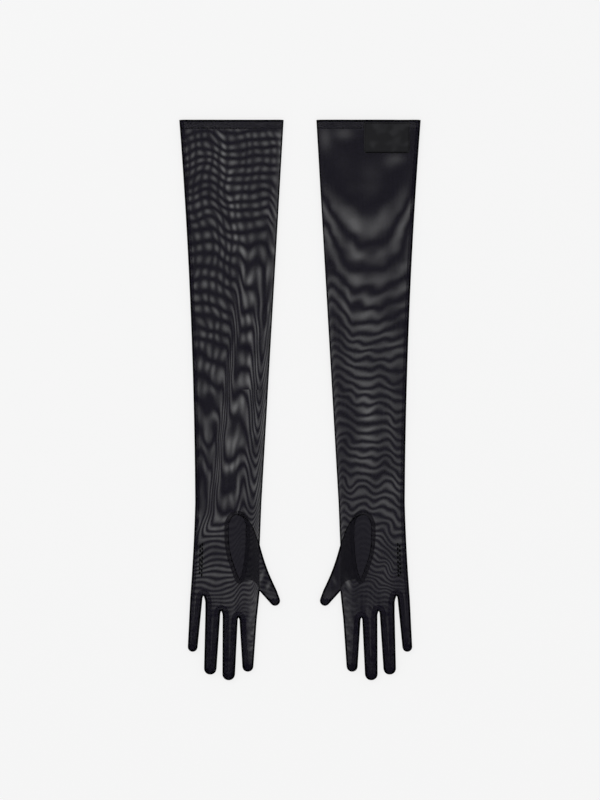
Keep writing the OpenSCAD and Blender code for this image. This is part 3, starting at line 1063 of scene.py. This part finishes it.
def make_gusset(side):
    """The thumb piece's pointed oval set into the palm, and the doubled cloth sewn down round it."""
    points, faces = triangulated(gusset_ring, rings=[])
    lift = above_palm(side, 0.0)
    oval = np.column_stack([points, lift(points)])
    cloth = add_piece(f"{side}_gusset_cloth", side, oval, faces, GUSSET)
    closed = np.vstack([gusset_ring, gusset_ring[:1]])
    across = sideways(closed)
    rows = []
    for share in (0.0, 0.35, 0.7, 1.0):
        outer = closed - across * GUSSET_ALLOWANCE * share
        rows.append(np.column_stack([outer, lift(outer) + 0.16]))
    points, faces = ribbon(np.stack(rows, axis=1))
    faces = [face[::-1] for face in faces]
    band = add_piece(f"{side}_gusset_allowance", side, points, faces, BAND)
    shape = laid_cord(closed, above_palm(side, 0.08), 0.3)
    seam = add_shape(f"{side}_gusset_seam", side, shape, SEAM_THREAD)
    return cloth, band, seam


HEM_DEPTH = (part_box("right_hem_facing")[1].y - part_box("right_hem_facing")[0].y) / MM
HEM_COLUMNS = 64
HEM_STITCH_PITCH = 3.1
ROLL_RADIUS = 0.85
# How far below the cuff's edge, and how deep under the outer layer, each line of the facing lies.
HEM_PROFILE = [(HEM_DEPTH, 0.5), (7, 0.5), (4.5, 0.48), (2, 0.45)]
HEM_PROFILE += [(0.6, 0.42), (0, 0.3), (-0.1, 0.15), (0, 0)]


def hem_line(down, margin=0.0):
    """A line across the sleeve, down below the cuff's edge."""
    y = cuff_y - down
    start, end = at_height(fold_line, y), at_height(seam_line, y)
    share = np.linspace(0, 1, HEM_COLUMNS)[:, None]
    return start + (end - start) * share + [margin, 0] * (1 - 2 * share)


def make_hem(side, layer):
    """The cuff's edge turned in: a second layer inside, rolled over at the cuff."""
    inner = -1 if layer == "palm" else 1
    number = 0 if layer == "palm" else 1
    rows = []
    for down, depth in HEM_PROFILE:
        line = hem_line(down, 0.6)
        on_cloth = np.column_stack([line[:, 0], np.minimum(line[:, 1], cuff_y - 0.3)])
        level = levels(on_cloth, SEED[side])[number]
        rows.append(np.column_stack([line, level + inner * depth]))
    points, faces = ribbon(np.stack(rows, axis=1))
    if layer == "palm":
        faces = [face[::-1] for face in faces]
    cloth = add_piece(f"{side}_hem_{layer}_facing", side, points, faces, HEM)
    line = hem_line(0.8 * ROLL_RADIUS)
    over_floor = lambda points: np.maximum(levels(points, SEED[side])[number], 0.9 * ROLL_RADIUS)
    shape = laid_cord(line, over_floor, ROLL_RADIUS)
    roll = add_shape(f"{side}_hem_{layer}_roll", side, shape, SEAM_THREAD)
    line = hem_line(HEM_DEPTH - 0.9, 1.5)
    shape = dashes(line, above_layer(side, number, -0.1 * inner), HEM_STITCH_PITCH, 2.2, 0.2)
    stitches = add_shape(f"{side}_hem_{layer}_stitches", side, shape, STITCH)
    return cloth, roll, stitches


LABEL_CORNER = 1.4
LABEL_THICKNESS = 0.35


def rounded_box(low, high, radius):
    """The outline of a rectangle with round corners, anticlockwise."""
    corners = [(high[0], high[1], 0), (low[0], high[1], 90), (low[0], low[1], 180), (high[0], low[1], 270)]
    middle = (low + high) / 2
    line = []
    for x, y, first in corners:
        centre = np.array([x, y]) - radius * np.sign([x - middle[0], y - middle[1]])
        for degrees in np.linspace(first, first + 90, 6):
            turn = math.radians(degrees)
            line.append(centre + radius * np.array([math.cos(turn), math.sin(turn)]))
    return dense(line + [line[0]], 1.8)[:-1]


def make_label():
    """A blank satin label on the right-hand glove's cuff, held by a row of stitches all round."""
    low, high = (np.array(corner)[:2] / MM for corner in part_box("label_patch"))
    ring = rounded_box(low, high, LABEL_CORNER)
    flat_points, faces = triangulated(ring, rings=[])
    lift = above_palm("right", 0.15)
    base = lift(flat_points)
    top = np.column_stack([flat_points, base + LABEL_THICKNESS])
    bottom = np.column_stack([flat_points, base])
    count = len(flat_points)
    every = [tuple(f) for f in faces] + [tuple(int(i) + count for i in f[::-1]) for f in faces]
    every += [(b, a, a + count, b + count) for a, b in rim_edges(faces)]
    patch = add_piece("right_label_cloth", "right", np.vstack([top, bottom]), every, SATIN)
    inset = rounded_box(low + 1.3, high - 1.3, LABEL_CORNER)
    border = np.vstack([inset, inset[:1]])
    height = above_palm("right", 0.15 + LABEL_THICKNESS + 0.05)
    shape = dashes(border, height, 2.6, 1.9, 0.16)
    stitches = add_shape("right_label_stitches", "right", shape, STITCH)
    # A black cord along the label's lower edge: partly the edge itself, partly painted shadow under the
    # label.
    edge = dense([(low[0] + 2, low[1] - 0.1), (high[0] - 3, low[1] - 0.1)], 1.6)
    shape = laid_cord(edge, above_palm("right", 0.3), 0.42)
    fold = add_shape("right_label_lower_edge", "right", shape, STITCH)
    return patch, stitches, fold, ring


TACK_LINES = [102.7, 104.9]
TACK_TOP, TACK_BOTTOM = -150.5, -186.0


def make_tacks(side):
    """A short row of stitches near the outer edge of the palm."""
    shapes = []
    for number, x in enumerate(TACK_LINES):
        line = dense([(x, TACK_TOP), (x + 0.8, TACK_BOTTOM)])
        shapes.append(dashes(line, above_palm(side, 0.1), 4.6, 3.2, 0.85, first=2.0 * number))
    return add_shape(f"{side}_palm_tacks", side, joined(shapes), STITCH)


# ------------ the pair of gloves

SEAM_CORD, FOLD_CORD, FINGER_CORD = 0.9, 0.75, 0.95  # radii of the stitched edges

# The CAD nodes that each visual piece stands for.
cloth_replaces = {
    "sleeve_palm": ["upper_sleeve_palm", "forearm_palm"],
    "sleeve_back": ["upper_sleeve_back", "forearm_back"],
    "hand_palm": ["hand_palm"],
    "hand_back": ["hand_back"],
    "thumb_palm": ["thumb_cloth"],
}
for name in FINGERS:
    cloth_replaces[f"{name}_palm"] = [f"{name}_finger_cloth"]
edge_replaces = {
    "sleeve_fold": ["upper_sleeve_fold", "forearm_fold"],
    "hand_fold": ["hand_fold"],
    "thumb": ["thumb_strips"],
}
seam_replaces = {
    "sleeve_seam": ["upper_sleeve_seam", "forearm_seam"],
    "hand_seam": ["hand_seam"],
    "little_high": (),
}


def finish_piece(piece, side, zone, replaced=()):
    attach(piece, zone)
    if replaced:
        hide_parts(*[f"{side}_{node}" for node in replaced])
    return piece


for side in SIDES:
    details = {zone: [] for zone in ZONES}

    for chain in chains:
        zone = zone_of(chain)
        is_fold = chain in ("sleeve_fold", "hand_fold")
        radius = FOLD_CORD if is_fold else SEAM_CORD if chain.endswith("seam") else FINGER_CORD
        cord = make_edge_cord(side, chain, radius, FOLD_THREAD if is_fold else SEAM_THREAD)
        details[zone].append(finish_piece(cord, side, zone, edge_replaces.get(chain, ())))

    for chain, replaced in seam_replaces.items():
        zone = zone_of(chain)
        details[zone].append(finish_piece(make_allowance(side, chain), side, zone, replaced))

    for chain in OPEN_CHAINS:
        zone = zone_of(chain)
        piece, length = make_strip(side, chain)
        replaced = [f"{zone}_finger_strips"] if zone in FINGERS else ["finger_forks"]
        finish_piece(piece, side, zone, replaced)
        width = 2 * STRIP_DEPTH + 1
        if zone in FINGERS:
            strip_ring = np.array([(0, 0), (width, 0), (width, length), (0, length)])
            declare_sheet(strip_ring)
        else:
            details[zone].append(piece)

    for zone in ["thumb"] + FINGERS:
        details[zone].append(finish_piece(make_tip_gather(side, zone), side, zone))

    base, base_seam = make_thumb_base(side)
    finish_piece(base, side, "hand")
    details["hand"].append(finish_piece(base_seam, side, "hand"))
    gusset, gusset_band, gusset_seam = make_gusset(side)
    finish_piece(gusset, side, "hand", ["thumb_gusset"])
    finish_piece(gusset_band, side, "hand")
    finish_piece(gusset_seam, side, "hand")
    details["hand"].append(finish_piece(make_tacks(side), side, "hand"))

    for layer in ("palm", "back"):
        facing, roll, stitches = make_hem(side, layer)
        finish_piece(facing, side, "sleeve", ["hem_facing"] if layer == "palm" else ())
        finish_piece(roll, side, "sleeve")
        finish_piece(stitches, side, "sleeve")
        hem_ring = np.vstack([hem_line(HEM_DEPTH + 0.7)[[0, -1]], hem_line(0)[[-1, 0]]])
        declare_sheet(hem_ring)

    cloths = make_cloth(side)
    for zone in ZONES:
        for layer in ("back", "palm"):
            piece = cloths[f"{side}_{zone}_{layer}_cloth"]
            finish_piece(piece, side, zone, cloth_replaces.get(f"{zone}_{layer}", ()))
            declare_sheet(region_ring[zone])
    declare_sheet(base_ring)
    declare_sheet(gusset_ring)

patch, label_stitches, label_edge_and_shadow, label_ring = make_label()
finish_piece(patch, "right", "sleeve")
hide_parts("label_patch")
finish_piece(label_stitches, "right", "sleeve")
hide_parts("label_stitching")
# The label's lower edge, with painted shadow under it.
finish_piece(label_edge_and_shadow, "right", "sleeve")
declare_sheet(label_ring)

# ------------ floor, light and camera

FLOOR_Z = -0.0003
bpy.ops.mesh.primitive_plane_add(size=8, location=(0, 0, FLOOR_Z))
floor = bpy.context.object
floor.name = "floor"
paper = bpy.data.materials.new("paper")
paper.use_nodes = True
paper_shader = paper.node_tree.nodes["Principled BSDF"]
paper_shader.inputs["Base Color"].default_value = (0.14, 0.14, 0.14, 1)
paper_shader.inputs["Roughness"].default_value = 1.0
paper_shader.inputs["Specular IOR Level"].default_value = 0.0
paper_shader.inputs["Emission Color"].default_value = (1, 1, 1, 1)
paper_shader.inputs["Emission Strength"].default_value = 0.763
floor.data.materials.append(paper)

world = bpy.data.worlds.new("studio")
world.use_nodes = True
world.node_tree.nodes["Background"].inputs["Color"].default_value = (1, 1, 1, 1)
world.node_tree.nodes["Background"].inputs["Strength"].default_value = 0.92
bpy.context.scene.world = world


def softbox(name, place, size, power):
    data = bpy.data.lights.new(name, "AREA")
    data.size = size
    data.energy = power
    light = bpy.data.objects.new(name, data)
    light.location = place
    light.rotation_euler = (-Vector(place)).to_track_quat("-Z", "Y").to_euler()
    bpy.context.scene.collection.objects.link(light)


softbox("key_light", (-1.1, 1.0, 1.6), 1.0, 9)
softbox("fill_light", (1.3, -0.6, 1.8), 1.4, 5)

VIEW_HEIGHT = 0.8429  # metres of the floor that the view takes in from top to bottom
LENS, SENSOR = 85, 36
camera_data = bpy.data.cameras.new("camera")
camera_data.lens = LENS
camera_data.sensor_width = SENSOR
camera = bpy.data.objects.new("camera", camera_data)
camera.location = (0, 0, 0.003 + VIEW_HEIGHT * LENS / SENSOR)
bpy.context.scene.collection.objects.link(camera)
bpy.context.scene.camera = camera
bpy.context.scene.view_settings.view_transform = "Standard"
